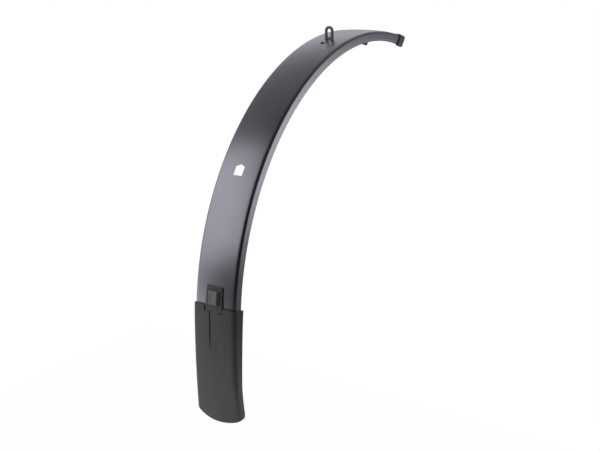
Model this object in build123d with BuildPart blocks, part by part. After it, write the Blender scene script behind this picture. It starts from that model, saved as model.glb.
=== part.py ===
from build123d import *
from math import asin, cos, degrees, radians, sin, sqrt, tan
import os

# A front mudguard for a bicycle, hung from the fork. Millimetres, +X forward, +Y to the left, +Z up.
# The origin is the middle of the fork tab's slot, on the tab's front face.
# Places along the blade are angles about the wheel's axle: 90 is straight up, 180 straight back.

# Blade, one rolled aluminium sheet
crown_radius = 370.0
blade_width = 66.0
crown_sag = 1.5
shoulder_radius = 3.5
skirt_depth = 16.3
sheet = 1.2
hem_width = 4.2
hem_radius = 2.2
blade_front_angle = 74.6
blade_rear_angle = 178.0

# House-shaped hole for a stay clip
clip_angle = 146.765
clip_width = 14.4
clip_height = 13.1
clip_roof = 3.1
clip_corner = 0.6

# Fork bracket, one bent steel strip
tab_angle = 103.0
tab_width = 14.0
tab_height = 18.5
bracket_gauge = 2.0
tab_slot_width = 6.5
tab_slot_length = 12.8
tab_round = 6.9
bracket_bend = 2.0
coin_depth = 0.1
coin_margin = 0.9
base_length = 25.0
base_corner = 3.0
crown_slot_corner = 0.8

# Blind rivet
rivet_angle = 106.0
rivet_shank = 4.0
rivet_head = 7.0
rivet_head_height = 1.1
rivet_head_rim = 0.3
rivet_dome = 0.86
rivet_bulb = 6.2
rivet_bulb_length = 3.0
rivet_bulb_straight = 1.6
mandrel_bore = 2.0
mandrel_depth = 0.6

# Mudflap, one rubber moulding; lengths along it start at the bend below the blade's end
flap_top_angle = 175.27
flap_bend_angle = 178.0
flap_radius = 1600.0
flap_length = 150.0
flap_side_wall = 1.95
flap_crown_wall = 2.35
flap_sag = 1.3
flap_outer_corner = 5.7
flap_top_depth = 17.9
flap_end_depth = 10.9
flap_end_radius = 54.0
flap_corner_start = 130.0
flap_corner_end = 141.5
flap_corner_depth = 3.0
flap_top_rake = 6.5
lip_end_angle = 177.4
lip_reach = 5.4
stop_gap = 0.5
stop_length = 2.2
stop_height = 2.1
stop_width = 48.0

# Tongue in the flap's notch, and the shallow channel below it
tongue_top_angle = 170.85
tongue_top_width = 26.2
tongue_root_width = 29.6
tongue_wall = 1.3
tongue_corner = 1.6
tongue_bury = 4.0
notch_side_gap = 0.4
notch_floor_angle = 176.45
channel_width = 13.4
channel_length = 46.5
channel_ramp_start = 28.0

# Press button, seated in a shallow pocket of the tongue, and the clip ring inside
button_angle = 173.28
button_width = 15.6
button_length = 19.1
button_top = 5.4
button_corner = 1.6
button_draft = 10.0
button_edge = 0.8
pocket_gap = 0.5
pocket_depth = 0.5
dish_margin = 2.2
dish_depth = 0.35
stem_diameter = 8.0
neck_diameter = 6.6
stem_tip_length = 2.2
stem_tip_chamfer = 0.8
clip_ring_diameter = 15.0
clip_ring_gauge = 0.8
clip_ring_slits = 6
clip_ring_slit_width = 1.0
clip_ring_slit_reach = 5.2

# Front end cap, one moulding over the sheet's front edge
cap_rear_angle = 76.9
cap_front_angle = 74.0
cap_wall = 2.0
cap_depth = 18.8
cap_outer_corner = 4.5
cap_foot_round = 1.2
cap_inner_wall = 1.5
cap_rake = 21.0
cap_edge_round = 0.9

# Named clearances
slide_gap = 0.25
seat_gap = 0.05
hole_gap = 0.2
tab_gap = 0.3

# How far cutters and untrimmed ends run past the faces they cut
cut_depth = 30.0
spare_angle = 3.0
spare_length = 10.0
spare_width = 1.0
wall_bite = 0.5
round_slack = 0.001

# Worked out from the sizes above
half_width = blade_width / 2
inner_radius = crown_radius - sheet
crown_arc_radius = (half_width**2 + crown_sag**2) / (2 * crown_sag)
slot_margin = (tab_width - tab_slot_width) / 2
slot_above_crown = tab_height - slot_margin - tab_slot_length / 2
tab_mid_x = -bracket_gauge / 2
tab_top_z = tab_slot_length / 2 + slot_margin
axle_x = tab_mid_x - crown_radius * cos(radians(tab_angle))
axle_z = -slot_above_crown - crown_radius * sin(radians(tab_angle))
axle = Vector(axle_x, 0, axle_z)
axle_line = Axis(axle, (0, 1, 0))
outer_half = half_width + slide_gap + flap_side_wall
flap_rise = slide_gap + flap_crown_wall
tongue_top = slide_gap + tongue_wall


def outward(angle):
    return Vector(cos(radians(angle)), 0, sin(radians(angle)))


def rearward(angle):
    return Vector(-sin(radians(angle)), 0, cos(radians(angle)))


bend_centre = axle + outward(flap_bend_angle) * (crown_radius - flap_radius)
bend_line = Axis(bend_centre, (0, 1, 0))


def section_plane(angle, centre=axle):
    """Cross-section of the blade: local x across, local y outward from the centre."""
    return Plane(origin=centre, x_dir=(0, 1, 0), z_dir=rearward(angle) * -1)


def surface_plane(angle, radius, centre=axle):
    """Plane that touches the crown: local x across, local y rearward, normal outward."""
    return Plane(origin=centre + outward(angle) * radius, x_dir=(0, 1, 0), z_dir=outward(angle))


def raked_plane(angle, rake):
    """End plane whose inner edge lies further to the rear, its normal pointing to the front."""
    normal = rearward(angle) * -cos(radians(rake)) + outward(angle) * -sin(radians(rake))
    return Plane(origin=axle + outward(angle) * crown_radius, x_dir=(0, 1, 0), z_dir=normal)


def crown_drop(across):
    """How far the crown has fallen at a distance from its centre line."""
    return crown_arc_radius - sqrt(crown_arc_radius**2 - across**2)


def flap_angle(length):
    """Angle about the flap's own centre, at a length below the bend."""
    return flap_bend_angle + degrees(length / flap_radius)


def flap_point(length, height):
    """Side-view point at a length below the bend and a height over the blade's crown line."""
    if length < 0:
        angle = flap_bend_angle + degrees(length / crown_radius)
        spot = axle + outward(angle) * (crown_radius + height)
    else:
        spot = bend_centre + outward(flap_angle(length)) * (flap_radius + height)
    return (spot.X, spot.Z)


def arch_face(half, top, sag, corner, bottom, foot=0.0):
    """Closed arch: crowned top, rounded shoulders, straight sides and rounded feet."""
    with BuildSketch() as arch:
        with BuildLine():
            ThreePointArc((-half, top - sag), (0, top), (half, top - sag))
            Polyline((half, top - sag), (half, bottom), (-half, bottom), (-half, top - sag))
        make_face()
        fillet(arch.vertices().group_by(Axis.Y)[-1], corner)
        if foot > 0:
            fillet(arch.vertices().group_by(Axis.Y)[0], foot)
    return arch.sketch


def sheet_face(gap):
    """Section of the folded sheet, grown on every side by a clearance."""
    outside = half_width + gap
    inside = half_width - sheet - gap
    bottom = crown_radius - skirt_depth - gap
    hem_top = crown_radius - skirt_depth + sheet + gap
    inner_corner = shoulder_radius - sheet - gap
    inner_foot = hem_radius - sheet - gap
    mouth = half_width - hem_width - gap
    outer_corner = shoulder_radius + gap
    outer_foot = hem_radius + gap
    with BuildSketch() as section:
        add(arch_face(outside, crown_radius + gap, crown_sag, outer_corner, bottom, outer_foot))
        cavity = arch_face(inside, inner_radius - gap, crown_sag, inner_corner, hem_top, inner_foot)
        add(cavity, mode=Mode.SUBTRACT)
        with Locations((0, bottom)):
            Rectangle(2 * mouth, cut_depth / 2, mode=Mode.SUBTRACT)
    return section.sketch


def strip_face(half, low, high, radius=crown_radius):
    """Section of a band that follows the crown, between two heights over the crown line."""
    drop = crown_drop(half)
    with BuildSketch() as strip:
        with BuildLine():
            ThreePointArc((-half, radius + high - drop), (0, radius + high), (half, radius + high - drop))
            Line((half, radius + high - drop), (half, radius + low - drop))
            ThreePointArc((half, radius + low - drop), (0, radius + low), (-half, radius + low - drop))
            Line((-half, radius + low - drop), (-half, radius + high - drop))
        make_face()
    return strip.sketch


# The blade: the folded section turned about the axle, then pierced
with BuildPart() as mudguard_blade:
    with BuildSketch(section_plane(blade_rear_angle)):
        add(sheet_face(0))
    revolve(axis=axle_line, revolution_arc=blade_rear_angle - blade_front_angle + spare_angle)
    split(bisect_by=raked_plane(blade_front_angle, cap_rake), keep=Keep.BOTTOM)
    with BuildSketch(surface_plane(clip_angle, crown_radius + sheet)) as clip_hole:
        with BuildLine():
            side = clip_width / 2
            eave = -clip_height / 2
            ridge = (0, eave - clip_roof)
            Polyline(ridge, (side, eave), (side, -eave), (-side, -eave), (-side, eave), close=True)
        make_face()
        fillet(clip_hole.vertices(), clip_corner)
    extrude(amount=-cut_depth / 2, mode=Mode.SUBTRACT)
    with BuildSketch(Plane.XY.offset(-slot_above_crown)):
        slot_front = tab_gap
        slot_rear = -bracket_gauge - (bracket_bend - bracket_gauge / 2) - tab_gap
        with Locations(((slot_front + slot_rear) / 2, 0)):
            RectangleRounded(slot_front - slot_rear, tab_width + 2 * tab_gap, crown_slot_corner)
    extrude(amount=cut_depth / 2, both=True, mode=Mode.SUBTRACT)
    with BuildSketch(surface_plane(rivet_angle, crown_radius)):
        Circle(rivet_shank / 2 + hole_gap / 2)
    extrude(amount=cut_depth / 2, both=True, mode=Mode.SUBTRACT)
    with BuildSketch(surface_plane(button_angle, crown_radius)):
        Circle(stem_diameter / 2 + hole_gap)
    extrude(amount=cut_depth / 2, both=True, mode=Mode.SUBTRACT)

# The fork bracket: an upright slotted tab, coined flat round its slot, and a base under the crown
base_angle = tab_angle + degrees(base_length / 2 / crown_radius)
base_half_turn = asin(base_length / 2 / inner_radius)
base_top_reach = (inner_radius - crown_drop(tab_width / 2) - seat_gap) * cos(base_half_turn)
base_foot = axle + outward(base_angle) * (base_top_reach - bracket_gauge / 2)
base_slope = rearward(base_angle)
bend_point = base_foot + base_slope * ((tab_mid_x - base_foot.X) / base_slope.X)
base_end = bend_point + base_slope * base_length

with BuildPart() as fork_bracket:
    with BuildSketch(Plane.XZ):
        with BuildLine():
            tab_end = (tab_mid_x, tab_top_z)
            corner_point = (bend_point.X, bend_point.Z)
            FilletPolyline(tab_end, corner_point, (base_end.X, base_end.Z), radius=bracket_bend)
        trace(line_width=bracket_gauge)
    extrude(amount=tab_width / 2, both=True)
    fillet(fork_bracket.edges().filter_by(Axis.X).group_by(Axis.Z)[-1], tab_round)
    end_corners = fork_bracket.edges().filter_by(
        lambda edge: edge.center().X < base_end.X + bracket_gauge and edge.length < tab_width / 2
    )
    fillet(end_corners, base_corner)
    with BuildSketch(Plane.YZ):
        SlotOverall(tab_slot_length, tab_slot_width, rotation=90)
    extrude(amount=-bracket_gauge, mode=Mode.SUBTRACT)
    with BuildSketch(Plane.XZ):
        coin_foot_z = -tab_slot_length / 2 - coin_margin
        with Locations((-coin_depth, coin_foot_z)):
            Rectangle(cut_depth, cut_depth, align=(Align.MIN, Align.MAX))
    extrude(amount=tab_width, both=True, mode=Mode.SUBTRACT)
    with BuildSketch(surface_plane(rivet_angle, crown_radius)):
        Circle(rivet_shank / 2 + hole_gap / 2)
    extrude(amount=-cut_depth / 2, mode=Mode.SUBTRACT)

# The blind rivet: domed head outside, set bulb under the bracket's base
rivet_tilt = radians(rivet_angle - base_angle)
rivet_grip = crown_radius - (base_top_reach - bracket_gauge) / cos(rivet_tilt)
rivet_under = -rivet_grip - rivet_bulb / 2 * tan(rivet_tilt) - seat_gap
rivet_centre = axle + outward(rivet_angle) * crown_radius
rivet_line = Axis(rivet_centre, outward(rivet_angle))

with BuildPart() as bracket_rivet:
    with BuildSketch(section_plane(rivet_angle, rivet_centre)):
        with BuildLine():
            bore = mandrel_bore / 2
            head = rivet_head / 2
            bulb = rivet_bulb / 2
            shank = rivet_shank / 2
            dome_mid = ((bore + head) / 2, rivet_head_height * rivet_dome)
            ThreePointArc((bore, rivet_head_height), dome_mid, (head, rivet_head_rim))
            Polyline((head, rivet_head_rim), (head, 0), (shank, 0), (shank, rivet_under), (bulb, rivet_under))
            bulb_low = rivet_under - rivet_bulb_straight
            bulb_end = rivet_under - rivet_bulb_length
            Polyline((bulb, rivet_under), (bulb, bulb_low), (shank, bulb_end), (0, bulb_end))
            bore_floor = rivet_head_height - mandrel_depth
            Polyline((0, bulb_end), (0, bore_floor), (bore, bore_floor), (bore, rivet_head_height))
        make_face()
    revolve(axis=rivet_line)

# The mudflap: sleeve over the blade's end, then a flatter tail with tapering skirts
flap_top_length = -radians(flap_bend_angle - flap_top_angle) * crown_radius
flap_span = flap_length - flap_top_length


def skirt_height(length):
    """Height of the skirt's free edge over the crown line, at a length below the bend."""
    share = (length - flap_top_length) / flap_span
    return -flap_top_depth - (flap_end_depth - flap_top_depth) * share


def flap_ring(radius):
    """Section of the flap: an arch with walls, its skirts left long for the side profile to trim."""
    inner_half = half_width + slide_gap
    inner_corner = shoulder_radius + slide_gap
    floor = radius - flap_top_depth - 2 * flap_side_wall
    with BuildSketch() as ring:
        add(arch_face(outer_half, radius + flap_rise, flap_sag, flap_outer_corner, floor))
        inner_top = radius + slide_gap
        inner_floor = floor - spare_width
        cavity = arch_face(inner_half, inner_top, crown_drop(inner_half), inner_corner, inner_floor)
        add(cavity, mode=Mode.SUBTRACT)
    return ring.sketch


with BuildPart() as channel_cutter:
    with BuildSketch(section_plane(flap_bend_angle)):
        add(strip_face(channel_width / 2, tongue_top, 3 * flap_rise))
    revolve(axis=axle_line, revolution_arc=flap_bend_angle - notch_floor_angle + spare_angle / 3)
    with BuildSketch(section_plane(flap_angle(channel_length), bend_centre)):
        add(strip_face(channel_width / 2, tongue_top, 3 * flap_rise, flap_radius))
    revolve(axis=bend_line, revolution_arc=degrees(channel_length / flap_radius))
    with BuildSketch(surface_plane(flap_angle(0), flap_radius, bend_centre)):
        SlotOverall(2 * channel_length, channel_width - round_slack, rotation=90)
    extrude(amount=cut_depth, both=True, mode=Mode.INTERSECT)
    ramp_low = flap_point(channel_ramp_start, tongue_top)
    ramp_high = flap_point(channel_length, flap_rise)
    ramp_rise = Vector(ramp_high[0] - ramp_low[0], 0, ramp_high[1] - ramp_low[1])
    ramp_normal = ramp_rise.cross(Vector(0, 1, 0))
    ramp_plane = Plane(origin=(ramp_low[0], 0, ramp_low[1]), x_dir=(0, 1, 0), z_dir=ramp_normal)
    split(bisect_by=ramp_plane, keep=Keep.BOTTOM)

tongue_length = radians(notch_floor_angle - tongue_top_angle) * crown_radius
tongue_mid_angle = (notch_floor_angle + tongue_top_angle) / 2

with BuildPart() as tongue_strip:
    with BuildSketch(section_plane(notch_floor_angle + spare_angle)):
        add(strip_face(tongue_root_width / 2 + spare_width, slide_gap, tongue_top))
    revolve(axis=axle_line, revolution_arc=notch_floor_angle - tongue_top_angle + 2 * spare_angle)
    with BuildSketch(surface_plane(tongue_mid_angle, crown_radius)) as tongue_plan:
        with BuildLine():
            top = -tongue_length / 2
            root = tongue_length / 2 + tongue_bury
            Polyline(
                (-tongue_top_width / 2, top),
                (tongue_top_width / 2, top),
                (tongue_root_width / 2, root),
                (-tongue_root_width / 2, root),
                close=True,
            )
        make_face()
        fillet(tongue_plan.vertices().group_by(Axis.Y)[0], tongue_corner)
    extrude(amount=cut_depth, both=True, mode=Mode.INTERSECT)

with BuildPart() as mudflap:
    with BuildSketch(section_plane(flap_bend_angle)):
        add(flap_ring(crown_radius))
    revolve(axis=axle_line, revolution_arc=flap_bend_angle - flap_top_angle + spare_angle)
    with BuildSketch(section_plane(flap_angle(flap_length + spare_length), bend_centre)):
        add(flap_ring(flap_radius))
    revolve(axis=bend_line, revolution_arc=degrees((flap_length + spare_length) / flap_radius))
    with BuildSketch(section_plane(lip_end_angle)):
        lip_top = crown_radius - skirt_depth - slide_gap
        lip_bottom = crown_radius - flap_top_depth - 2 * flap_side_wall
        for lip_side in (-1, 1):
            with Locations((lip_side * (outer_half - wall_bite - lip_reach / 2), (lip_top + lip_bottom) / 2)):
                Rectangle(lip_reach, lip_top - lip_bottom)
    revolve(axis=axle_line, revolution_arc=lip_end_angle - flap_top_angle + spare_angle)
    with BuildSketch(section_plane(flap_angle(stop_gap + stop_length), bend_centre)):
        add(strip_face(stop_width / 2, -stop_height, slide_gap + wall_bite, flap_radius))
    revolve(axis=bend_line, revolution_arc=degrees(stop_length / flap_radius))
    split(bisect_by=raked_plane(flap_top_angle, flap_top_rake), keep=Keep.BOTTOM)
    with BuildSketch(surface_plane(flap_top_angle, crown_radius)):
        notch_length = radians(notch_floor_angle - flap_top_angle) * crown_radius
        Rectangle(tongue_root_width + 2 * notch_side_gap, 2 * notch_length)
    extrude(amount=cut_depth / 2, mode=Mode.SUBTRACT)
    with BuildSketch(Plane.XZ):
        with BuildLine():
            start = flap_top_length - spare_length / 2
            finish = flap_length + spare_length + spare_width
            edge_top = flap_point(start, skirt_height(start))
            edge_mid = flap_point(flap_corner_start / 2, skirt_height(flap_corner_start / 2))
            edge_low = flap_point(flap_corner_start, skirt_height(flap_corner_start))
            skirt_edge = ThreePointArc(edge_top, edge_mid, edge_low)
            corner_end = flap_point(flap_corner_end, -flap_corner_depth)
            TangentArc(edge_low, corner_end, tangent=skirt_edge % 1)
            past_end = flap_point(finish, -flap_corner_depth)
            past_out = flap_point(finish, cut_depth)
            top_out = flap_point(start, cut_depth)
            Polyline(corner_end, past_end, past_out, top_out, edge_top)
        make_face()
    extrude(amount=2 * half_width, both=True, mode=Mode.INTERSECT)
    with BuildSketch(surface_plane(flap_angle(flap_length), flap_radius, bend_centre)):
        side = outer_half + spare_width
        end_rise = flap_end_radius - sqrt(flap_end_radius**2 - side**2)
        with BuildLine():
            ThreePointArc((-side, -end_rise), (0, 0), (side, -end_rise))
            Polyline((side, -end_rise), (side, cut_depth), (-side, cut_depth), (-side, -end_rise))
        make_face()
    extrude(amount=cut_depth, both=True, mode=Mode.SUBTRACT)
    add(channel_cutter.part, mode=Mode.SUBTRACT)
    add(tongue_strip.part)
    with BuildSketch(surface_plane(button_angle, crown_radius + tongue_top - pocket_depth)):
        pocket_width = button_width + 2 * pocket_gap
        pocket_length = button_length + 2 * pocket_gap
        RectangleRounded(pocket_width, pocket_length, button_corner + pocket_gap)
    extrude(amount=cut_depth, mode=Mode.SUBTRACT)
    with BuildSketch(surface_plane(button_angle, crown_radius)):
        Circle(stem_diameter / 2 + hole_gap)
    extrude(amount=cut_depth, both=True, mode=Mode.SUBTRACT)

# The press button: a tapered square head on a round stem with a neck for the clip ring
button_seat = crown_radius + tongue_top - pocket_depth
button_rise = crown_radius + button_top - button_seat
ring_seat = inner_radius - crown_drop(clip_ring_diameter / 2) - seat_gap
neck_top = ring_seat + seat_gap
neck_bottom = ring_seat - clip_ring_gauge - seat_gap

with BuildPart() as flap_button:
    with BuildSketch(surface_plane(button_angle, button_seat)):
        RectangleRounded(button_width, button_length, button_corner)
    extrude(amount=button_rise, taper=button_draft)
    fillet(flap_button.faces().sort_by(Axis.X)[0].edges(), button_edge)
    with BuildSketch(surface_plane(button_angle, button_seat + button_rise)):
        dish_width = button_width - 2 * button_rise * tan(radians(button_draft)) - 2 * dish_margin
        dish_length = dish_width + button_length - button_width
        RectangleRounded(dish_width, dish_length, button_corner)
    extrude(amount=-dish_depth, mode=Mode.SUBTRACT)
    with BuildSketch(surface_plane(button_angle, button_seat)):
        Circle(stem_diameter / 2)
    extrude(amount=neck_top - button_seat)
    with BuildSketch(surface_plane(button_angle, neck_top)):
        Circle(neck_diameter / 2)
    extrude(amount=neck_bottom - neck_top)
    with BuildSketch(surface_plane(button_angle, neck_bottom)):
        Circle(stem_diameter / 2)
    extrude(amount=-stem_tip_length)
    chamfer(flap_button.edges().filter_by(GeomType.CIRCLE).sort_by(Axis.X)[-1], stem_tip_chamfer)

# The clip ring: a toothed spring washer round the stem's neck
with BuildPart() as button_retainer:
    with BuildSketch(surface_plane(button_angle, ring_seat)):
        Circle(clip_ring_diameter / 2)
        Circle(neck_diameter / 2 + seat_gap, mode=Mode.SUBTRACT)
        with PolarLocations(clip_ring_slit_reach / 2, clip_ring_slits):
            Rectangle(clip_ring_slit_reach, clip_ring_slit_width, mode=Mode.SUBTRACT)
    extrude(amount=-clip_ring_gauge)

# The front end cap: a deep arch with an open middle, less a pocket that the sheet's end slides into
with BuildPart() as sheet_pocket:
    with BuildSketch(section_plane(cap_rear_angle + 2 * spare_angle)):
        add(sheet_face(slide_gap))
    revolve(axis=axle_line, revolution_arc=cap_rear_angle - blade_front_angle + 3 * spare_angle)
    pocket_floor = raked_plane(blade_front_angle - degrees(slide_gap / crown_radius), cap_rake)
    split(bisect_by=pocket_floor, keep=Keep.BOTTOM)

with BuildPart() as front_end_cap:
    with BuildSketch(section_plane(cap_rear_angle + spare_angle)):
        cap_half = half_width + cap_wall
        cap_top = crown_radius + cap_wall
        cap_floor = crown_radius - cap_depth
        add(arch_face(cap_half, cap_top, crown_sag, cap_outer_corner, cap_floor, cap_foot_round))
        void_half = half_width - hem_width - slide_gap - cap_inner_wall
        void_top = inner_radius - slide_gap - cap_inner_wall
        void_floor = void_top - 2 * cap_depth
        void_face = arch_face(void_half, void_top, crown_drop(void_half), shoulder_radius, void_floor)
        add(void_face, mode=Mode.SUBTRACT)
    revolve(axis=axle_line, revolution_arc=cap_rear_angle - cap_front_angle + 2 * spare_angle)
    split(bisect_by=raked_plane(cap_front_angle, cap_rake), keep=Keep.BOTTOM)
    split(bisect_by=raked_plane(cap_rear_angle, cap_rake), keep=Keep.TOP)
    fillet(front_end_cap.faces().sort_by(Axis.X)[-1].outer_wire().edges(), cap_edge_round)
    add(sheet_pocket.part, mode=Mode.SUBTRACT)

os.makedirs("parts", exist_ok=True)

mudguard_blade.part.label = "mudguard_blade"
export_step(mudguard_blade.part, "parts/mudguard_blade.step")
fork_bracket.part.label = "fork_bracket"
export_step(fork_bracket.part, "parts/fork_bracket.step")
bracket_rivet.part.label = "bracket_rivet"
export_step(bracket_rivet.part, "parts/bracket_rivet.step")
mudflap.part.label = "mudflap"
export_step(mudflap.part, "parts/mudflap.step")
flap_button.part.label = "flap_button"
export_step(flap_button.part, "parts/flap_button.step")
button_retainer.part.label = "button_retainer"
export_step(button_retainer.part, "parts/button_retainer.step")
front_end_cap.part.label = "front_end_cap"
export_step(front_end_cap.part, "parts/front_end_cap.step")
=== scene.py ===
# %% [markdown]
# # A bicycle mudguard around its CAD frame
# This lesson dresses a front mudguard: a rolled aluminium channel, a slotted steel tab,
# a plastic end cap and a rubber flap with a press button. The solids come in from the CAD
# model at their real size, in metres, and each piece is then made or finished here.

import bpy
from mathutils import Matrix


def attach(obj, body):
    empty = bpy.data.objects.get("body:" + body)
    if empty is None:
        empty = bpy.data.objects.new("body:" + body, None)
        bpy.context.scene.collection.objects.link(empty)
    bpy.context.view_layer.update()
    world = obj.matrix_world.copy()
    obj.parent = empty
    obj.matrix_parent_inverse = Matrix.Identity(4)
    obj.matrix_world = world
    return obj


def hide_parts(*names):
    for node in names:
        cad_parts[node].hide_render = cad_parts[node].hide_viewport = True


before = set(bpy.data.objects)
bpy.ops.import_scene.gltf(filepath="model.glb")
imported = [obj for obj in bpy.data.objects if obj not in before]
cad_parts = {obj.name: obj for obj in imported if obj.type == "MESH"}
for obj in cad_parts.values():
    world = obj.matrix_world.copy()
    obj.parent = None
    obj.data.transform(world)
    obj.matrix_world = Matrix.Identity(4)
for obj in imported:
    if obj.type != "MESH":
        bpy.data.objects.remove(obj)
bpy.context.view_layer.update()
print("nodes:", sorted(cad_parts))

# %% [markdown]
# Blender works in metres. Sizes are written here in millimetres, as a drawing gives them, and
# multiplied by MM.

# %% Modules and units
from math import asin, cos, pi, radians, sin, sqrt, tan

import bmesh
import bpy
from mathutils import Matrix, Vector

MM = 0.001

# %% [markdown]
# The part's origin is the middle of the fork tab's slot. The blade is an arc about the wheel's
# axle, so most places on it are an angle about that axle: 90 degrees is straight up and
# 180 degrees is straight back.

# %% The arc that everything follows
AXLE = Vector((82.2319, 0.0, -368.8669)) * MM
CROWN_RADIUS = 370.0 * MM


def crown_point(angle, height=0.0):
    """A point over the blade's centre line."""
    reach = CROWN_RADIUS + height
    return AXLE + Vector((cos(radians(angle)), 0, sin(radians(angle)))) * reach


print("top of the blade:", [round(v, 4) for v in crown_point(90)])

# %% [markdown]
# The photograph was taken from behind, above and to the right of the mudguard. The camera was
# fitted to the blade's edges, so its place and its lens are plain numbers here.

# %% Camera at the photograph's angle
EYE = AXLE + Vector((-1147.94, -644.451, 438.5)) * MM
CAMERA_RIGHT = Vector((0.547222, -0.836988, 0.0))
CAMERA_UP = Vector((0.236206, 0.154432, 0.959353))
LENS_MM = 49.14

camera_data = bpy.data.cameras.new("camera")
camera_data.lens = LENS_MM
camera_data.sensor_width = 36.0
camera = bpy.data.objects.new("camera", camera_data)
bpy.context.scene.collection.objects.link(camera)
backwards = CAMERA_RIGHT.cross(CAMERA_UP)
turned = Matrix((CAMERA_RIGHT, CAMERA_UP, backwards)).transposed().to_4x4()
camera.matrix_world = Matrix.Translation(EYE) @ turned
bpy.context.scene.camera = camera
print("camera distance from the tab:", round(EYE.length, 3), "m")

# %% [markdown]
# Nodes of every kind, in materials, in the world and in Geometry Nodes, are added the same
# way: a type, its plain settings, and the sockets that feed it. One small function does that,
# so the cells below read like a list of what each finish is made of.

# %% Helpers for node trees
def linear(code):
    """An sRGB hex colour as linear red, green, blue and alpha."""
    channels = [int(code[i : i + 2], 16) / 255 for i in (1, 3, 5)]
    return [c / 12.92 if c <= 0.04045 else ((c + 0.055) / 1.055) ** 2.4 for c in channels] + [1.0]


def add_node(tree, kind, settings=None, links=None):
    """Add a node, set its properties and sockets, and link other sockets into it.

    A key is a property's name, a socket's name or a socket's number.
    """
    node = tree.nodes.new(kind)
    for key, value in (settings or {}).items():
        if isinstance(key, int) or key in node.inputs:
            node.inputs[key].default_value = value
        else:
            setattr(node, key, value)
    for key, socket in (links or {}).items():
        tree.links.new(socket, node.inputs[key])
    return node


def new_material(name, settings):
    """A material with its tree, its shader and its Object coordinates."""
    material = bpy.data.materials.new(name)
    material.use_nodes = True
    tree = material.node_tree
    shader = tree.nodes["Principled BSDF"]
    for key, value in settings.items():
        shader.inputs[key].default_value = value
    place = tree.nodes.new("ShaderNodeTexCoord").outputs["Object"]
    return material, tree, shader, place


finishes = {}
print("helpers ready")

# %% [markdown]
# The blade is aluminium sheet, rolled to a channel and satin anodised in graphite. The metal
# itself is seen through a thin dyed film: a soft, slightly bluish sheen with very fine lines
# left by the rollers, which run along the blade. The lines follow the arc because the
# pattern is drawn on the length round the axle, the width, and the distance from the axle.

# %% Satin anodised aluminium
ROLL_LINE = 0.9 * MM  # real lines are about 0.1 mm apart; drawn coarser so that they show
ROLL_LENGTH = 60 * MM
DYE_PATCH = 35 * MM

material, tree, shader, place = new_material("satin_anodised_aluminium", {"Metallic": 1.0})
from_axle = add_node(tree, "ShaderNodeVectorMath", {"operation": "SUBTRACT", 1: AXLE}, {0: place})
parts = add_node(tree, "ShaderNodeSeparateXYZ", links={0: from_axle.outputs[0]}).outputs
turn = add_node(tree, "ShaderNodeMath", {"operation": "ARCTAN2"}, {0: parts["Z"], 1: parts["X"]})
along = add_node(tree, "ShaderNodeMath", {"operation": "MULTIPLY", 1: CROWN_RADIUS}, {0: turn.outputs[0]})
reach = add_node(tree, "ShaderNodeVectorMath", {"operation": "LENGTH"}, {0: from_axle.outputs[0]})
unrolled = add_node(
    tree,
    "ShaderNodeCombineXYZ",
    links={"X": along.outputs[0], "Y": parts["Y"], "Z": reach.outputs["Value"]},
)
stretched = add_node(
    tree,
    "ShaderNodeVectorMath",
    {"operation": "MULTIPLY", 1: (1 / ROLL_LENGTH, 1 / ROLL_LINE, 1 / ROLL_LINE)},
    {0: unrolled.outputs[0]},
)
rolled = add_node(
    tree,
    "ShaderNodeTexNoise",
    {"Scale": 1.0, "Detail": 3.0, "Roughness": 0.6},
    {0: stretched.outputs[0]},
)
cloudy = add_node(
    tree,
    "ShaderNodeTexNoise",
    {"Scale": 1 / DYE_PATCH, "Detail": 2.0},
    {0: unrolled.outputs[0]},
)
tint = add_node(
    tree,
    "ShaderNodeMix",
    {"data_type": "RGBA", 6: linear("#94949e"), 7: linear("#9c9ca5")},
    {0: cloudy.outputs[0]},
)
tree.links.new(tint.outputs[2], shader.inputs["Base Color"])
gloss = add_node(
    tree,
    "ShaderNodeMapRange",
    {"From Min": 0.3, "From Max": 0.7, "To Min": 0.29, "To Max": 0.35},
    {0: rolled.outputs[0]},
)
tree.links.new(gloss.outputs[0], shader.inputs["Roughness"])
ridges = add_node(
    tree,
    "ShaderNodeBump",
    {"Strength": 0.035, "Distance": 0.02 * MM},
    {"Height": rolled.outputs[0]},
)
tree.links.new(ridges.outputs[0], shader.inputs["Normal"])
finishes["mudguard_blade"] = material
print(material.name, len(tree.nodes), "nodes")

# %% [markdown]
# The flap is a matt black rubber. A moulding of this kind comes out of a spark-eroded steel
# mould, so it has an even pebble grain under half a millimetre across. Dust makes some of it
# slightly paler. Rubber has an ordinary index of refraction, 1.52, and a wide, dull highlight.

# %% Matt moulded rubber
GRAIN = 0.45 * MM
DUST_PATCH = 22 * MM

material, tree, shader, place = new_material("matt_moulded_rubber", {"IOR": 1.52})
pebbles = add_node(tree, "ShaderNodeTexVoronoi", {"Scale": 1 / GRAIN, "Randomness": 1.0}, {0: place})
clouds = add_node(tree, "ShaderNodeTexNoise", {"Scale": 1 / DUST_PATCH, "Detail": 4.0}, {0: place})
tint = add_node(
    tree,
    "ShaderNodeMix",
    {"data_type": "RGBA", 6: linear("#373739"), 7: linear("#3f3f41")},
    {0: clouds.outputs[0]},
)
tree.links.new(tint.outputs[2], shader.inputs["Base Color"])
gloss = add_node(tree, "ShaderNodeMapRange", {"To Min": 0.36, "To Max": 0.46}, {0: clouds.outputs[0]})
tree.links.new(gloss.outputs[0], shader.inputs["Roughness"])
grain = add_node(
    tree,
    "ShaderNodeBump",
    {"Strength": 0.35, "Distance": 0.05 * MM},
    {"Height": pebbles.outputs[0]},
)
tree.links.new(grain.outputs[0], shader.inputs["Normal"])
finishes["mudflap"] = material
print(material.name, len(tree.nodes), "nodes")

# %% [markdown]
# The fork tab is steel strip with a black electrophoretic coat, which is an even semi-gloss
# paint film about 20 microns thick. It dries with a very fine orange peel. The rivet's head has
# the same coat.

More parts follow.
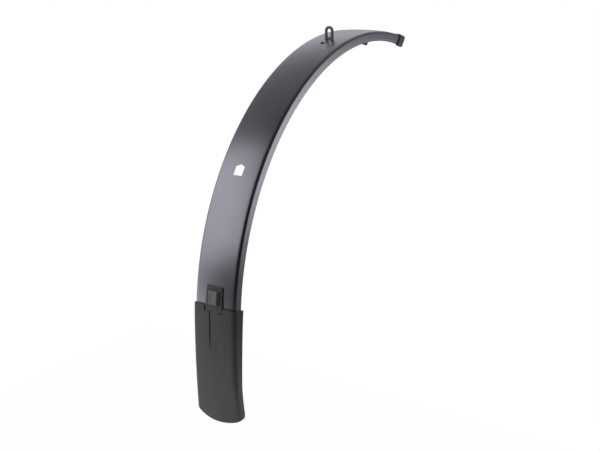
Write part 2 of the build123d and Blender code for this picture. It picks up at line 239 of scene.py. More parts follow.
# %% Black electrophoretic coat
PEEL_WIDTH = 0.8 * MM

material, tree, shader, place = new_material("black_electrocoated_steel", {"IOR": 1.5})
orange_peel = add_node(tree, "ShaderNodeTexNoise", {"Scale": 1 / PEEL_WIDTH, "Detail": 2.0}, {0: place})
tint = add_node(
    tree,
    "ShaderNodeMix",
    {"data_type": "RGBA", 6: linear("#434345"), 7: linear("#4b4b4d")},
    {0: orange_peel.outputs[0]},
)
tree.links.new(tint.outputs[2], shader.inputs["Base Color"])
gloss = add_node(tree, "ShaderNodeMapRange", {"To Min": 0.32, "To Max": 0.46}, {0: orange_peel.outputs[0]})
tree.links.new(gloss.outputs[0], shader.inputs["Roughness"])
peel = add_node(
    tree,
    "ShaderNodeBump",
    {"Strength": 0.15, "Distance": 0.02 * MM},
    {"Height": orange_peel.outputs[0]},
)
tree.links.new(peel.outputs[0], shader.inputs["Normal"])
finishes["fork_bracket"] = material
finishes["bracket_rivet"] = material
print(material.name, len(tree.nodes), "nodes")

# %% [markdown]
# The button and the end cap are injection-moulded nylon with glass fibre. The fibre gives
# moulded nylon a faint swirl and a dull, slightly uneven gloss.

# %% Glass-filled nylon
SWIRL = 6 * MM
FIBRE = 0.4 * MM

material, tree, shader, place = new_material("moulded_glass_filled_nylon", {"IOR": 1.53})
swirl = add_node(
    tree,
    "ShaderNodeTexNoise",
    {"Scale": 1 / SWIRL, "Detail": 5.0, "Distortion": 1.2},
    {0: place},
)
speckle = add_node(tree, "ShaderNodeTexNoise", {"Scale": 1 / FIBRE, "Detail": 2.0}, {0: place})
tint = add_node(
    tree,
    "ShaderNodeMix",
    {"data_type": "RGBA", 6: linear("#606062"), 7: linear("#6a6a6c")},
    {0: swirl.outputs[0]},
)
tree.links.new(tint.outputs[2], shader.inputs["Base Color"])
gloss = add_node(tree, "ShaderNodeMapRange", {"To Min": 0.38, "To Max": 0.55}, {0: swirl.outputs[0]})
tree.links.new(gloss.outputs[0], shader.inputs["Roughness"])
fibres = add_node(
    tree,
    "ShaderNodeBump",
    {"Strength": 0.2, "Distance": 0.02 * MM},
    {"Height": speckle.outputs[0]},
)
tree.links.new(fibres.outputs[0], shader.inputs["Normal"])
finishes["flap_button"] = material
finishes["front_end_cap"] = material
print(material.name, len(tree.nodes), "nodes")

# %% [markdown]
# The clip ring is punched from hardened spring strip. It keeps its blank, oiled grey, a little
# darker in patches where the heat treatment coloured it.

# %% Oiled spring steel
HEAT_PATCH = 3 * MM

material, tree, shader, place = new_material("oiled_spring_steel", {"Metallic": 1.0})
patches = add_node(tree, "ShaderNodeTexNoise", {"Scale": 1 / HEAT_PATCH, "Detail": 3.0}, {0: place})
tint = add_node(
    tree,
    "ShaderNodeMix",
    {"data_type": "RGBA", 6: linear("#6f6d6a"), 7: linear("#94918c")},
    {0: patches.outputs[0]},
)
tree.links.new(tint.outputs[2], shader.inputs["Base Color"])
gloss = add_node(tree, "ShaderNodeMapRange", {"To Min": 0.25, "To Max": 0.42}, {0: patches.outputs[0]})
tree.links.new(gloss.outputs[0], shader.inputs["Roughness"])
finishes["button_retainer"] = material
print(material.name, len(tree.nodes), "nodes")

# %% [markdown]
# A finish goes straight into the material slot of its CAD node. Four nodes have the right shape
# and stay. The other three are remade below, in the same finishes.

# %% Put each finish on its CAD node
for name, material in finishes.items():
    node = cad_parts[name]
    node.data.materials.clear()
    node.data.materials.append(material)
print("finished:", sorted(finishes))

# %% [markdown]
# The real blade is one strip of sheet that runs through rollers: they crown it, turn its sides
# down into skirts and fold each skirt's edge inwards. Every cross-section is the same, so the
# piece is one section carried along an arc. It could be modelled face by face or spun with
# bmesh, but here the section is a closed line and Geometry Nodes carry it along the arc. The
# first helper draws an arch with rounded shoulders and feet, as points across and up.

# %% The section of the blade
HALF_WIDTH = 33.0 * MM
CROWN_SAG = 1.5 * MM
SHOULDER_RADIUS = 3.5 * MM
SKIRT_DEPTH = 16.3 * MM
SHEET = 1.2 * MM
HEM_WIDTH = 4.2 * MM
HEM_RADIUS = 2.2 * MM
SIDE_SHARES = (0.35, 0.6, 0.85)


def arch(half, top, corner, bottom, foot, sag=CROWN_SAG, turn=1):
    """Right half of an arch, from its foot up its side and shoulder to the middle of its crown.

    Its foot is rounded inward where turn is 1 and outward where turn is -1.
    """
    crown = (half**2 + sag**2) / (2 * sag)
    across = half - corner
    centre = top - crown + sqrt((crown - corner) ** 2 - across**2)
    start = asin(across / (crown - corner))
    points = []
    for step in range(7):
        angle = radians(90) * step / 6
        points.append((half - turn * foot * (1 - sin(angle)), bottom + foot * (1 - cos(angle))))
    points += [(half, bottom + (centre - bottom) * share) for share in SIDE_SHARES]
    for step in range(9):
        angle = radians(90) + (start - radians(90)) * step / 8
        points.append((across + corner * sin(angle), centre + corner * cos(angle)))
    for step in range(1, 10):
        angle = start * (1 - step / 9)
        points.append((crown * sin(angle), top - crown + crown * cos(angle)))
    return points


mouth = HALF_WIDTH - HEM_WIDTH
outside = [(mouth, -SKIRT_DEPTH)] + arch(HALF_WIDTH, 0, SHOULDER_RADIUS, -SKIRT_DEPTH, HEM_RADIUS)
inside_radii = SHOULDER_RADIUS - SHEET, SHEET - SKIRT_DEPTH, HEM_RADIUS - SHEET
inside = [(mouth, SHEET - SKIRT_DEPTH)] + arch(HALF_WIDTH - SHEET, -SHEET, *inside_radii)
section = outside + [(-x, y) for x, y in reversed(outside[:-1])]
section += [(-x, y) for x, y in inside] + list(reversed(inside[:-1]))
print("section:", len(section), "points,", round((max(x for x, _ in section) * 2) / MM, 1), "mm wide")

# %% [markdown]
# Four openings are punched through the crown: the house-shaped hole for a stay clip, the slot
# that the fork tab comes up through, the rivet's hole and the button's hole. Each punch is a
# closed prism that stands across the sheet. A fifth block trims the front end to the rake of
# the end cap's mouth. They are joined into one mesh, which the node tree will subtract.

# %% Helpers for closed forms
def loft(mesh, rings):
    """Add a closed form through rings of points, with a flat cap at both ends."""
    rows = [[mesh.verts.new(point) for point in points] for points in rings]
    count = len(rows[0])
    for low, high in zip(rows, rows[1:]):
        for i in range(count):
            j = (i + 1) % count
            mesh.faces.new((low[i], low[j], high[j], high[i]))
    mesh.faces.new(list(reversed(rows[0])))
    mesh.faces.new(rows[-1])


def prism(mesh, outline, angle, low, high):
    """Add a closed prism: an outline across and rearward, standing outward at an angle."""
    rear = Vector((-sin(radians(angle)), 0, cos(radians(angle))))
    rings = []
    for height in (low, high):
        middle = crown_point(angle, height)
        rings.append([middle + Vector((0, x, 0)) + rear * y for x, y in outline])
    loft(mesh, rings)


def ring(radius, count=48):
    """Points round a circle."""
    return [(radius * cos(2 * pi * i / count), radius * sin(2 * pi * i / count)) for i in range(count)]


def rounded(corners, radius, count=5):
    """An outline with every corner rounded by an arc."""
    points = []
    for i, corner in enumerate(corners):
        here = Vector(corner)
        before = (Vector(corners[i - 1]) - here).normalized()
        after = (Vector(corners[(i + 1) % len(corners)]) - here).normalized()
        half = before.angle(after) / 2
        middle = here + (before + after).normalized() * radius / sin(half)
        first = here + before * radius / (sin(half) / cos(half)) - middle
        last = here + after * radius / (sin(half) / cos(half)) - middle
        for step in range(count + 1):
            points.append(tuple(middle + first.slerp(last, step / count).normalized() * radius))
    return points


def raked_block(mesh, angle, side):
    """Add a cube that starts at an angle, at the cap's rake, and lies ahead (1) or behind (-1)."""
    block = bmesh.ops.create_cube(mesh, size=BLOCK)["verts"]
    turned = Matrix.Rotation(radians(90 - angle + END_RAKE), 3, "Y")
    bmesh.ops.translate(mesh, verts=block, vec=(side * BLOCK / 2, 0, 0))
    bmesh.ops.rotate(mesh, verts=block, cent=(0, 0, 0), matrix=turned)
    bmesh.ops.translate(mesh, verts=block, vec=crown_point(angle))


END_RAKE, BLOCK = 21.0, 80 * MM
print("helpers for closed forms ready")

# %% The punches
CLIP_ANGLE, RIVET_ANGLE, BUTTON_ANGLE = 146.765, 106.0, 173.28
FRONT_ANGLE, REAR_ANGLE = 74.6, 178.0
PUNCH_REACH = 8 * MM
CLIP_CORNER = 0.6 * MM
RIVET_HOLE, STEM_HOLE = 2.1 * MM, 4.2 * MM
SLOT_FRONT, SLOT_REAR, SLOT_HALF = 0.3 * MM, -3.3 * MM, 7.3 * MM
SLOT_CORNER, SLOT_FLOOR = 0.8 * MM, -16 * MM

side, eave, roof = 7.2 * MM, 6.55 * MM, 3.1 * MM
house = [(0, -eave - roof), (side, -eave), (side, eave), (-side, eave), (-side, -eave)]
slot = [(SLOT_FRONT, -SLOT_HALF), (SLOT_FRONT, SLOT_HALF), (SLOT_REAR, SLOT_HALF), (SLOT_REAR, -SLOT_HALF)]

punches = bmesh.new()
prism(punches, rounded(house, CLIP_CORNER), CLIP_ANGLE, -PUNCH_REACH, PUNCH_REACH)
prism(punches, ring(RIVET_HOLE), RIVET_ANGLE, -PUNCH_REACH, PUNCH_REACH)
prism(punches, ring(STEM_HOLE), BUTTON_ANGLE, -PUNCH_REACH, PUNCH_REACH)
outline = rounded(slot, SLOT_CORNER)
loft(punches, [[(x, y, height) for x, y in outline] for height in (SLOT_FLOOR, 0.0)])
bmesh.ops.recalc_face_normals(punches, faces=punches.faces)
raked_block(punches, FRONT_ANGLE, 1)
punch_mesh = bpy.data.meshes.new("blade_punches")
punches.to_mesh(punch_mesh)
punch_object = bpy.data.objects.new("blade_punches", punch_mesh)
bpy.context.scene.collection.objects.link(punch_object)
print("punches:", len(punch_mesh.vertices), "points")

# %% [markdown]
# The tree draws the arc in the XY plane, stands it up in the XZ plane and sets its centre on
# the axle. Curve to Mesh carries the section along it and closes both ends. Mesh Boolean then
# takes the punches out. The blade is long, so the arc has 300 steps, each under 0.4 degrees.
# It starts 3 degrees early, and the fifth block trims that off.

# %% The blade's node tree
SPARE = 3
tree = bpy.data.node_groups.new("rolled_blade", "GeometryNodeTree")
tree.interface.new_socket("Section", in_out="INPUT", socket_type="NodeSocketGeometry")
wanted = {
    "Crown Radius": ("NodeSocketFloat", CROWN_RADIUS),
    "Front Angle": ("NodeSocketFloat", radians(FRONT_ANGLE - SPARE)),
    "Sweep": ("NodeSocketFloat", radians(REAR_ANGLE - FRONT_ANGLE + SPARE)),
    "Steps": ("NodeSocketInt", 300),
    "Axle": ("NodeSocketVector", AXLE),
    "Punches": ("NodeSocketObject", punch_object),
    "Finish": ("NodeSocketMaterial", finishes["mudguard_blade"]),
}
sockets = {}
for name, (kind, _) in wanted.items():
    socket = tree.interface.new_socket(name, in_out="INPUT", socket_type=kind)
    sockets[name] = socket.identifier
tree.interface.new_socket("Blade", in_out="OUTPUT", socket_type="NodeSocketGeometry")
given = tree.nodes.new("NodeGroupInput").outputs
line = add_node(tree, "GeometryNodeMeshToCurve", links={0: given["Section"]})
arc = add_node(
    tree,
    "GeometryNodeCurveArc",
    {"mode": "RADIUS"},
    {
        "Resolution": given["Steps"],
        "Radius": given["Crown Radius"],
        "Start Angle": given["Front Angle"],
        "Sweep Angle": given["Sweep"],
    },
)
upright = add_node(
    tree,
    "GeometryNodeTransform",
    {"Rotation": (radians(90), 0, 0)},
    {0: arc.outputs[0], "Translation": given["Axle"]},
)
swept = add_node(
    tree,
    "GeometryNodeCurveToMesh",
    {"Fill Caps": True},
    {"Curve": upright.outputs[0], "Profile Curve": line.outputs[0]},
)
tools = add_node(tree, "GeometryNodeObjectInfo", {"transform_space": "ORIGINAL"}, {0: given["Punches"]})
punched = add_node(
    tree,
    "GeometryNodeMeshBoolean",
    {"operation": "DIFFERENCE", "solver": "EXACT"},
    {0: swept.outputs[0], 1: tools.outputs["Geometry"]},
)
real = add_node(tree, "GeometryNodeRealizeInstances", links={0: punched.outputs[0]})
painted = add_node(tree, "GeometryNodeSetMaterial", links={0: real.outputs[0], "Material": given["Finish"]})
add_node(tree, "NodeGroupOutput", links={0: painted.outputs[0]})
print("tree:", len(tree.nodes), "nodes")

# %% [markdown]
# The node tree is a modifier on the flat section. Its inputs are set before it first runs, and
# its result is read back as a plain mesh. The flat section and the punches are then deleted.
# Faces meet smoothly except where they turn by more than 30 degrees, as at a punched edge.

# %% Make the blade
def bake(holder, name, crease=30):
    """The evaluated mesh of an object, as a new object with no modifiers."""
    graph = bpy.context.evaluated_depsgraph_get()
    mesh = bpy.data.meshes.new_from_object(holder.evaluated_get(graph))
    piece = bpy.data.objects.new(name, mesh)
    bpy.context.scene.collection.objects.link(piece)
    bpy.data.objects.remove(holder)
    mesh.shade_smooth()
    mesh.set_sharp_from_angle(angle=radians(crease))
    return piece


flat = bpy.data.meshes.new("blade_section")
edges = [(i, (i + 1) % len(section)) for i in range(len(section))]
flat.from_pydata([(x, -y, 0) for x, y in section], edges, [])
holder = bpy.data.objects.new("blade_section", flat)
bpy.context.scene.collection.objects.link(holder)
modifier = holder.modifiers.new("rolled_blade", "NODES")
modifier.node_group = tree
for name, (_, value) in wanted.items():
    modifier[sockets[name]] = value
blade = bake(holder, "rolled_blade")
bpy.data.objects.remove(punch_object)


def closed(piece):
    """Whether every edge of a mesh joins exactly two faces, and the volume inside it."""
    mesh = bmesh.new()
    mesh.from_mesh(piece.data)
    open_edges = sum(1 for edge in mesh.edges if len(edge.link_faces) != 2)
    return open_edges, round(mesh.calc_volume(signed=True) / MM**3)


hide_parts("mudguard_blade")
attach(blade, "root")
print("blade:", len(blade.data.polygons), "faces, open edges and mm3:", closed(blade))

# %% [markdown]
# The flap is one rubber moulding, open at the front: a sleeve that grips the blade's end, then
# a flatter tail whose skirts get shallower towards a rounded end. Rubber has no sharp edges,
# because the mould's own edges are rounded and the flap bends off them. Cloth simulation is no
# help for a stiff moulding, and bevels on a CAD mesh pinch. So the wall is drawn as a clean
# grid: rows from top to bottom, each row a line over the outside and back along the inside.
# Lengths run down from the bend below the blade's end, and are negative above it. The flap in
# the photograph has taken a slight set: its right lower corner has curled forward and hangs
# lower. So the last third of the tail leans forward at its right and its end is flatter there.

# %% Where the flap is
BEND_ANGLE, TAIL_RADIUS = 178.0, 1600 * MM
BEND_CENTRE = crown_point(BEND_ANGLE, -TAIL_RADIUS)
FLAP_TOP, FLAP_END = -17.63 * MM, 150 * MM
TOP_DEPTH, END_DEPTH = 17.9 * MM, 10.9 * MM
CORNER_AT, CORNER_RISE, CORNER_RADIUS = 129.47 * MM, 0.895 * MM, 12.64 * MM
END_RADIUS = 54 * MM
TOP_RAKE = radians(6.5)
CURL, CURL_FROM, FLAP_HALF = 8.5 * MM, 93 * MM, 35.2 * MM
SET_END_RADIUS = 200 * MM


def end_rise(across, radius):
    """How far a round end has risen, at a distance across from its lowest point."""
    return radius - sqrt(radius**2 - across**2)


def flap_point(length, across, height):
    """A point of the flap, at a length below the bend and a height over the crown line."""
    centre, radius = (AXLE, CROWN_RADIUS) if length < 0 else (BEND_CENTRE, TAIL_RADIUS)
    share = (max(0.0, length - CURL_FROM) / (FLAP_END - CURL_FROM)) ** 1.5
    right = max(0.0, -across)
    length += share * (end_rise(right, END_RADIUS) - end_rise(right, SET_END_RADIUS))
    forward = CURL * share * (right / FLAP_HALF) ** 2
    angle = radians(BEND_ANGLE) + length / radius
    reach = radius + height
    return centre + Vector((cos(angle) * reach + forward, across, sin(angle) * reach))


def skirt_edge(length):
    """Height of the skirt's free edge: a slow taper, then a round corner."""
    taper = (TOP_DEPTH - END_DEPTH) * (length - FLAP_TOP) / (FLAP_END - FLAP_TOP) - TOP_DEPTH
    past = max(0.0, length - CORNER_AT)
    corner = CORNER_RISE - sqrt(max(0.0, CORNER_RADIUS**2 - past**2))
    return max(taper, corner) if past else taper


for name, length in (("top", FLAP_TOP), ("end", FLAP_END)):
    print("flap's", name, "at", [round(v, 3) for v in flap_point(length, 0, 0)])

# %% [markdown]
# Each wall line has the same number of points, so the two can be paired. At the free edges the
# pair closes up by a quarter circle, which rounds the rim all the way round.

# %% The flap's wall
RIM = 0.65 * MM
FOOT_ROUND = 0.8 * MM
ROWS = 120
OUTER_TOP, OUTER_SHOULDER, OUTER_SAG = 2.6 * MM, 5.7 * MM, 1.3 * MM
INNER_HALF, INNER_TOP = 33.25 * MM, 0.25 * MM
INNER_SHOULDER, INNER_SAG = 3.75 * MM, 1.523 * MM
QUARTER_TURN = [0, radians(30), radians(60), radians(90)]


def outer_wall(length):
    """Right half of the flap's outside, at a length."""
    return arch(FLAP_HALF, OUTER_TOP, OUTER_SHOULDER, skirt_edge(length), FOOT_ROUND, OUTER_SAG)


def inner_wall(length):
    """Right half of the flap's inside, at a length."""
    foot = skirt_edge(length)
    return arch(INNER_HALF, INNER_TOP, INNER_SHOULDER, foot, FOOT_ROUND, INNER_SAG, -1)


def wall_point(wall, k, share, offset):
    """Point k of a wall line, at a share of the way down and an offset past it."""
    across, height = wall(FLAP_TOP)[k]
    start = FLAP_TOP - height * tan(TOP_RAKE)
    end = FLAP_END - end_rise(across, END_RADIUS)
    length = start + share * (end - start) + offset
    across, height = wall(length)[k]
    return Vector((length, across, height))


rims = [(RIM * (1 - cos(turn)), RIM * (1 - sin(turn))) for turn in QUARTER_TURN]
rows = [(0.0, offset, inset) for offset, inset in rims]
rows += [(step / ROWS, 0.0, 0.0) for step in range(1, ROWS)]
rows += [(1.0, -offset, inset) for offset, inset in reversed(rims)]
POINTS = len(outer_wall(0.0))

wall = bmesh.new()
grid = []
for share, offset, inset in rows:
    right_outer, right_inner = [], []
    for k in range(POINTS):
        outer = wall_point(outer_wall, k, share, offset)
        inner = wall_point(inner_wall, k, share, offset)
        gap = inner - outer
        step = gap.normalized() * min(inset, 0.4 * gap.length)
        right_outer.append(outer + step)
        right_inner.append(inner - step)
    mirrored = [[Vector((v.x, -v.y, v.z)) for v in line[:-1]] for line in (right_outer, right_inner)]
    loop = right_outer + list(reversed(mirrored[0])) + mirrored[1] + list(reversed(right_inner))
    grid.append([wall.verts.new(flap_point(*v)) for v in loop])
count = len(grid[0])
for low, high in zip(grid, grid[1:]):
    for i in range(count):
        j = (i + 1) % count
        wall.faces.new((low[i], low[j], high[j], high[i]))
for row in (grid[0], grid[-1]):
    for i in range(count // 2 - 1):
        wall.faces.new((row[i], row[i + 1], row[count - 2 - i], row[count - 1 - i]))
bmesh.ops.recalc_face_normals(wall, faces=wall.faces)
print("flap wall:", len(wall.faces), "faces")

# %% [markdown]
# The rest of the moulding is joined to the wall or cut from it: a tongue that lies on the blade
# under the button, lips that grip the blade's hem, a stop for the blade's end, the notch round
# the tongue, a shallow channel below it, the button's pocket and its hole. Each is a closed
# form that follows the same curve. The exact Boolean solver joins them into one closed skin.

# %% Helpers for forms on the flap's curve
CROWN_ARC = 363.75 * MM
MOULDED_CREASE = 38


def crown_drop(across):
    """How far the flap's crown has fallen away, at a distance across."""
    return CROWN_ARC - sqrt(CROWN_ARC**2 - across**2)


def band(length, half, low, high, edge=0.0, count=12):
    """A ring of points: a band that follows the crown, its upper edges rounded."""
    points = [(-half + 2 * half * i / count, low) for i in range(count + 1)]
    inner = half - edge
    for turn in QUARTER_TURN:
        points.append((inner + edge * cos(turn), high - edge + edge * sin(turn)))
    points += [(inner - 2 * inner * i / count, high) for i in range(1, count)]
    for turn in reversed(QUARTER_TURN):
        points.append((-inner - edge * cos(turn), high - edge + edge * sin(turn)))
    return [flap_point(length, x, y - crown_drop(abs(x))) for x, y in points]


def joined(piece, mesh, operation):
    """The piece with a closed form added to it or taken from it."""
    bmesh.ops.recalc_face_normals(mesh, faces=mesh.faces)
    data = bpy.data.meshes.new("tool")
    mesh.to_mesh(data)
    tool = bpy.data.objects.new("tool", data)
    bpy.context.scene.collection.objects.link(tool)
    cut = piece.modifiers.new("cut", "BOOLEAN")
    cut.operation, cut.solver, cut.object = operation, "EXACT", tool
    piece = bake(piece, piece.name, MOULDED_CREASE)
    bpy.data.objects.remove(tool)
    return piece


def rectangle(half, reach, corner):
    """A rectangle with rounded corners, half as wide and half as long as given."""
    return rounded([(-half, -reach), (half, -reach), (half, reach), (-half, reach)], corner)


def quarter(radius, distance):
    """How far a corner of this radius has drawn in, at a distance from its end."""
    return radius - sqrt(radius**2 - (radius - distance) ** 2) if distance < radius else 0.0


skin = bpy.data.meshes.new("rubber_flap")
wall.to_mesh(skin)
flap = bpy.data.objects.new("rubber_flap", skin)
bpy.context.scene.collection.objects.link(flap)
print("crown falls away by", round(crown_drop(HALF_WIDTH) / MM, 2), "mm at the blade's side")

# %% The notch and the channel
NOTCH_ANGLE = 175.27
NOTCH_HALF, NOTCH_REACH, NOTCH_CORNER = 15.2 * MM, 7.62 * MM, 0.7 * MM
NOTCH_LOW, NOTCH_HIGH = -3 * MM, 9 * MM
notch = bmesh.new()
outline = rectangle(NOTCH_HALF, NOTCH_REACH, NOTCH_CORNER)
prism(notch, outline, NOTCH_ANGLE, NOTCH_LOW, NOTCH_HIGH)
flap = joined(flap, notch, "DIFFERENCE")

CHANNEL_START, CHANNEL_RAMP, CHANNEL_CLOSE = -11.01 * MM, 28 * MM, 46.5 * MM
CHANNEL_HALF, CHANNEL_FLOOR, CHANNEL_STEPS = 6.7 * MM, 1.58 * MM, 60
CHANNEL_TIP = 0.05 * MM
channel = bmesh.new()
span = CHANNEL_CLOSE - CHANNEL_TIP - CHANNEL_START
rings = []
for step in range(CHANNEL_STEPS + 1):
    length = CHANNEL_START + span * step / CHANNEL_STEPS
    width = CHANNEL_HALF - quarter(CHANNEL_HALF, CHANNEL_CLOSE - length)
    closing = max(0.0, length - CHANNEL_RAMP) / (CHANNEL_CLOSE - CHANNEL_RAMP)
    floor_at = CHANNEL_FLOOR + (OUTER_TOP - CHANNEL_FLOOR) * closing
    rings.append(band(length, width, floor_at, PUNCH_REACH))
loft(channel, rings)
flap = joined(flap, channel, "DIFFERENCE")
print("notch and channel cut:", len(flap.data.polygons), "faces")

# %% The tongue
TONGUE_TOP, TONGUE_ROOT = -46.17 * MM, -6.01 * MM
TONGUE_SKIN, TONGUE_BASE, TONGUE_EDGE, TONGUE_CORNER = 1.55 * MM, 0.3 * MM, 0.45 * MM, 1.6 * MM
TONGUE_HALF, TONGUE_FLARE, TONGUE_NOSE = 13.1 * MM, 1.7 * MM, 3 * MM
tongue = bmesh.new()
rings = []
span = TONGUE_ROOT - TONGUE_TOP
distances = [0.0, 0.06 * MM, 0.2 * MM, 0.45 * MM, 0.9 * MM, 1.6 * MM]
distances += [TONGUE_NOSE + (span - TONGUE_NOSE) * i / 24 for i in range(25)]
for distance in distances:
    width = TONGUE_HALF + TONGUE_FLARE * distance / span - quarter(TONGUE_CORNER, distance)
    high = TONGUE_SKIN - quarter(TONGUE_EDGE, distance)
    rings.append(band(TONGUE_TOP + distance, width, TONGUE_BASE, high, TONGUE_EDGE))
loft(tongue, rings)
flap = joined(flap, tongue, "UNION")
print("tongue joined:", len(flap.data.polygons), "faces")

# %% The lips and the stop
LIP_START, LIP_LENGTH, LIP_STEPS = -15.3 * MM, 11.4 * MM, 12
LIP_IN, LIP_OUT, LIP_TOP, LIP_CORNER = 29.3 * MM, 34.2 * MM, -16.55 * MM, 0.35 * MM
LIP_RAISE = 0.1 * MM
STOP_START, STOP_LENGTH, STOP_STEPS = 0.5 * MM, 2.2 * MM, 5
STOP_HALF, STOP_LOW, STOP_HIGH, STOP_EDGE = 24 * MM, -2.1 * MM, 0.75 * MM, 0.1 * MM
extras = bmesh.new()
for side in (-1, 1):
    rings = []
    for step in range(LIP_STEPS + 1):
        length = LIP_START + LIP_LENGTH * step / LIP_STEPS
        low = skirt_edge(length) + LIP_RAISE
        lip = [(LIP_IN, low), (LIP_OUT, low), (LIP_OUT, LIP_TOP), (LIP_IN, LIP_TOP)]
        outline = rounded(lip, LIP_CORNER, 3)
        rings.append([flap_point(length, side * x, y) for x, y in outline])
    loft(extras, rings)
rings = []
for step in range(STOP_STEPS + 1):
    length = STOP_START + STOP_LENGTH * step / STOP_STEPS
    rings.append(band(length, STOP_HALF, STOP_LOW, STOP_HIGH, STOP_EDGE, 24))
loft(extras, rings)
flap = joined(flap, extras, "UNION")
print("lips and stop joined:", len(flap.data.polygons), "faces")

# %% The button's pocket and hole
POCKET_HALF, POCKET_REACH, POCKET_CORNER = 8.3 * MM, 10.05 * MM, 2.1 * MM
POCKET_FLOOR = 1.05 * MM
pocket = bmesh.new()
outline = rectangle(POCKET_HALF, POCKET_REACH, POCKET_CORNER)
prism(pocket, outline, BUTTON_ANGLE, POCKET_FLOOR, PUNCH_REACH)
flap = joined(flap, pocket, "DIFFERENCE")
stem_hole = bmesh.new()
prism(stem_hole, ring(STEM_HOLE), BUTTON_ANGLE, -PUNCH_REACH, PUNCH_REACH)
flap = joined(flap, stem_hole, "DIFFERENCE")
flap.name = "rubber_flap"
flap.data.materials.clear()
flap.data.materials.append(finishes["mudflap"])
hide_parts("mudflap")
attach(flap, "root")
print("flap:", len(flap.data.polygons), "faces, open edges and mm3:", closed(flap))

# %% [markdown]
# The front end cap is one nylon moulding, pushed over the sheet. In the photograph its mouth
# stands slightly further forward than the solid's, and its feet only wrap the edge of the hem.
# A CAD mesh is loose triangles, so a copy is merged into one skin. Then its mouth is trimmed
# along the same rake, and a block that follows the arc clears the middle out to thin sides.

# %% The front end cap
CAP_MOUTH = 76.55
CAVITY_HALF, CAVITY_ROOF = 30.4 * MM, -4.2 * MM
CAVITY_FLOOR, CAVITY_CORNER = -30 * MM, 2 * MM
CAVITY_ANGLES = range(70, 83)

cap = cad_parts["front_end_cap"].copy()
merged = bmesh.new()
merged.from_mesh(cap.data)
bmesh.ops.remove_doubles(merged, verts=merged.verts, dist=0.001 * MM)
cap.data = bpy.data.meshes.new("end_cap")
merged.to_mesh(cap.data)
bpy.context.scene.collection.objects.link(cap)

beyond = bmesh.new()
raked_block(beyond, CAP_MOUTH, -1)
cap = joined(cap, beyond, "DIFFERENCE")

cavity = bmesh.new()
corners = [(-CAVITY_HALF, CAVITY_FLOOR), (CAVITY_HALF, CAVITY_FLOOR)]
corners += [(CAVITY_HALF, CAVITY_ROOF), (-CAVITY_HALF, CAVITY_ROOF)]
outline = rounded(corners, CAVITY_CORNER)
rings = []
for angle in CAVITY_ANGLES:
    rings.append([crown_point(angle, y) + Vector((0, x, 0)) for x, y in outline])
loft(cavity, rings)
cap = joined(cap, cavity, "DIFFERENCE")
cap.name = "moulded_end_cap"
cap.data.materials.clear()
cap.data.materials.append(finishes["front_end_cap"])
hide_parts("front_end_cap")
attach(cap, "root")
print("cap:", len(cap.data.polygons), "faces, open edges and mm3:", closed(cap))

# %% [markdown]
# The photograph was lit for a catalogue: a wide soft light at the left, a lower one at the
# right, a white backdrop behind and a dark room behind the camera. The metal shows all of
# them, so the world is bright where the backdrop stands and dim where the room is, with a pale
# glow low at the left, where the table stood. Rays from the camera, and through glass, meet
# plain white wherever they go.

# %% World: a white backdrop in a dim room
BACKDROP_WAY = (0.844, 0.536, 0.0)
ROOM = [(0.0, 0.02), (0.50, 0.06), (0.60, 0.15), (0.70, 0.18), (0.79, 0.22)]
ROOM += [(0.83, 0.28), (0.885, 0.45), (0.935, 0.72), (1.0, 0.80)]
TABLE_WAY = (-0.449, 0.778, -0.438)
TABLE_WHITE = 1.5
AMBIENT = 0.30

bpy.context.scene.view_settings.view_transform = "Standard"
world = bpy.data.worlds.new("studio")
bpy.context.scene.world = world
world.use_nodes = True
tree = world.node_tree
tree.nodes.clear()
way = add_node(tree, "ShaderNodeTexCoord").outputs["Generated"]
towards = add_node(tree, "ShaderNodeVectorMath", {"operation": "DOT_PRODUCT", 1: BACKDROP_WAY}, {0: way})
share = add_node(
    tree,
    "ShaderNodeMapRange",
    {"From Min": -1.0, "From Max": 1.0},
    {0: towards.outputs["Value"]},
)
room = add_node(tree, "ShaderNodeValToRGB", links={0: share.outputs[0]})
stops = room.color_ramp.elements
stops[0].position, stops[1].position = ROOM[0][0], ROOM[-1][0]
for spot, _ in ROOM[1:-1]:
    stops.new(spot)
for stop, (spot, grey) in zip(stops, ROOM):
    stop.color = (grey, grey, grey, 1)
upward = add_node(tree, "ShaderNodeSeparateXYZ", links={0: way}).outputs["Z"]
height = add_node(
    tree,
    "ShaderNodeMapRange",
    {"From Min": -0.1, "From Max": 0.4, "To Min": 0.45, "To Max": 1.2},
    {0: upward},
)
dimmed = add_node(
    tree,
    "ShaderNodeMath",
    {"operation": "MULTIPLY"},
    {0: room.outputs[0], 1: height.outputs[0]},
)
beside = add_node(tree, "ShaderNodeVectorMath", {"operation": "DOT_PRODUCT", 1: TABLE_WAY}, {0: way})
table = add_node(
    tree,
    "ShaderNodeMapRange",
    {"From Min": 0.88, "From Max": 1.0, "To Max": TABLE_WHITE},
    {0: beside.outputs["Value"]},
)
mirrored = add_node(
    tree,
    "ShaderNodeMath",
    {"operation": "ADD"},
    {0: dimmed.outputs[0], 1: table.outputs[0]},
)
ray = add_node(tree, "ShaderNodeLightPath").outputs
seen = add_node(
    tree,
    "ShaderNodeMath",
    {"operation": "MAXIMUM"},
    {0: ray["Is Camera Ray"], 1: ray["Is Transmission Ray"]},
)
kept = add_node(
    tree,
    "ShaderNodeMix",
    {"data_type": "FLOAT", 2: AMBIENT},
    {0: ray["Is Glossy Ray"], 3: mirrored.outputs[0]},
)
power = add_node(
    tree,
    "ShaderNodeMix",
    {"data_type": "FLOAT", 3: 1.0},
    {0: seen.outputs[0], 2: kept.outputs[0]},
)
background = add_node(tree, "ShaderNodeBackground", {"Color": (1, 1, 1, 1)}, {"Strength": power.outputs[0]})
add_node(tree, "ShaderNodeOutputWorld", links={"Surface": background.outputs[0]})
print("world nodes:", len(tree.nodes))

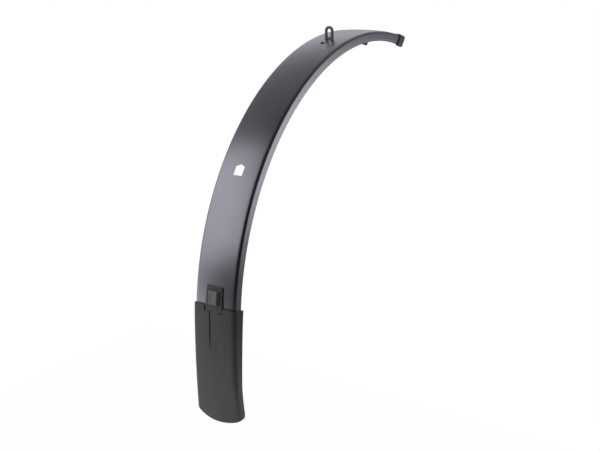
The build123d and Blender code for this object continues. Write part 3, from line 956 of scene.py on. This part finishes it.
# %% [markdown]
# The floor is a white sheet 0.3 m below the flap. Its own white is added only for rays from
# the camera, from reflections and through glass. The rest of its shader takes light and shadow
# as any paper does, so it keeps a faint shadow of the mudguard.

# %% Floor
FLOOR_Z = -0.80
FLOOR_SIZE = 1.4
FLOOR_CENTRE = (-0.3, 0.1, FLOOR_Z)
FLOOR_WHITE = 0.98

bpy.ops.mesh.primitive_plane_add(size=FLOOR_SIZE, location=FLOOR_CENTRE)
floor = bpy.context.object
floor.name = "floor"
floor_material = bpy.data.materials.new("white_paper_floor")
floor_material.use_nodes = True
tree = floor_material.node_tree
tree.nodes.clear()
ray = add_node(tree, "ShaderNodeLightPath").outputs
seen = add_node(
    tree,
    "ShaderNodeMath",
    {"operation": "MAXIMUM"},
    {0: ray["Is Camera Ray"], 1: ray["Is Glossy Ray"]},
)
seen = add_node(
    tree,
    "ShaderNodeMath",
    {"operation": "MAXIMUM"},
    {0: seen.outputs[0], 1: ray["Is Transmission Ray"]},
)
own = add_node(tree, "ShaderNodeMath", {"operation": "MULTIPLY", 1: FLOOR_WHITE}, {0: seen.outputs[0]})
paper = add_node(tree, "ShaderNodeBsdfDiffuse", {"Color": linear("#f2f2f2")})
glow = add_node(tree, "ShaderNodeEmission", {"Color": (1, 1, 1, 1), "Strength": 1.0})
mixed = add_node(
    tree,
    "ShaderNodeMixShader",
    links={0: own.outputs[0], 1: paper.outputs[0], 2: glow.outputs[0]},
)
add_node(tree, "ShaderNodeOutputMaterial", links={"Surface": mixed.outputs[0]})
floor.data.materials.append(floor_material)
print("floor at", FLOOR_Z, "m")

# %% [markdown]
# Two softboxes and a small fill lamp do the rest. Each is set by its brightness as seen from
# the object, because that is what the metal mirrors, and its power follows from its size. The
# fill lifts the rubber near the button. It is hidden from mirror rays, so no metal shows it.

# %% Lamps
def softbox(name, place, target, size, brightness, tilt=0):
    """A rectangular lamp that looks equally bright from everywhere in front of it."""
    data = bpy.data.lights.new(name, "AREA")
    data.shape = "RECTANGLE"
    data.size, data.size_y = size
    data.energy = brightness * pi * size[0] * size[1]
    lamp = bpy.data.objects.new(name, data)
    bpy.context.scene.collection.objects.link(lamp)
    aim = Vector(target) - Vector(place)
    facing = aim.to_track_quat("-Z", "Y").to_matrix().to_4x4()
    lamp.matrix_world = Matrix.Translation(place) @ facing @ Matrix.Rotation(radians(tilt), 4, "Z")
    print(name, round(data.energy, 2), "W")
    return lamp


softbox(
    "left_softbox",
    place=(-1.80, 1.75, 0.84),
    target=(-0.15, 0, -0.2),
    size=(1.9, 2.35),
    brightness=1.12,
    tilt=36,
)
softbox(
    "right_softbox",
    place=(1.15, -1.02, -0.43),
    target=(-0.2, 0, -0.15),
    size=(0.75, 0.6),
    brightness=1.45,
)
fill = softbox(
    "flap_fill",
    place=(-0.62, 0.42, -0.02),
    target=(-0.29, 0, -0.34),
    size=(0.35, 0.35),
    brightness=5.0,
)
fill.visible_glossy = False
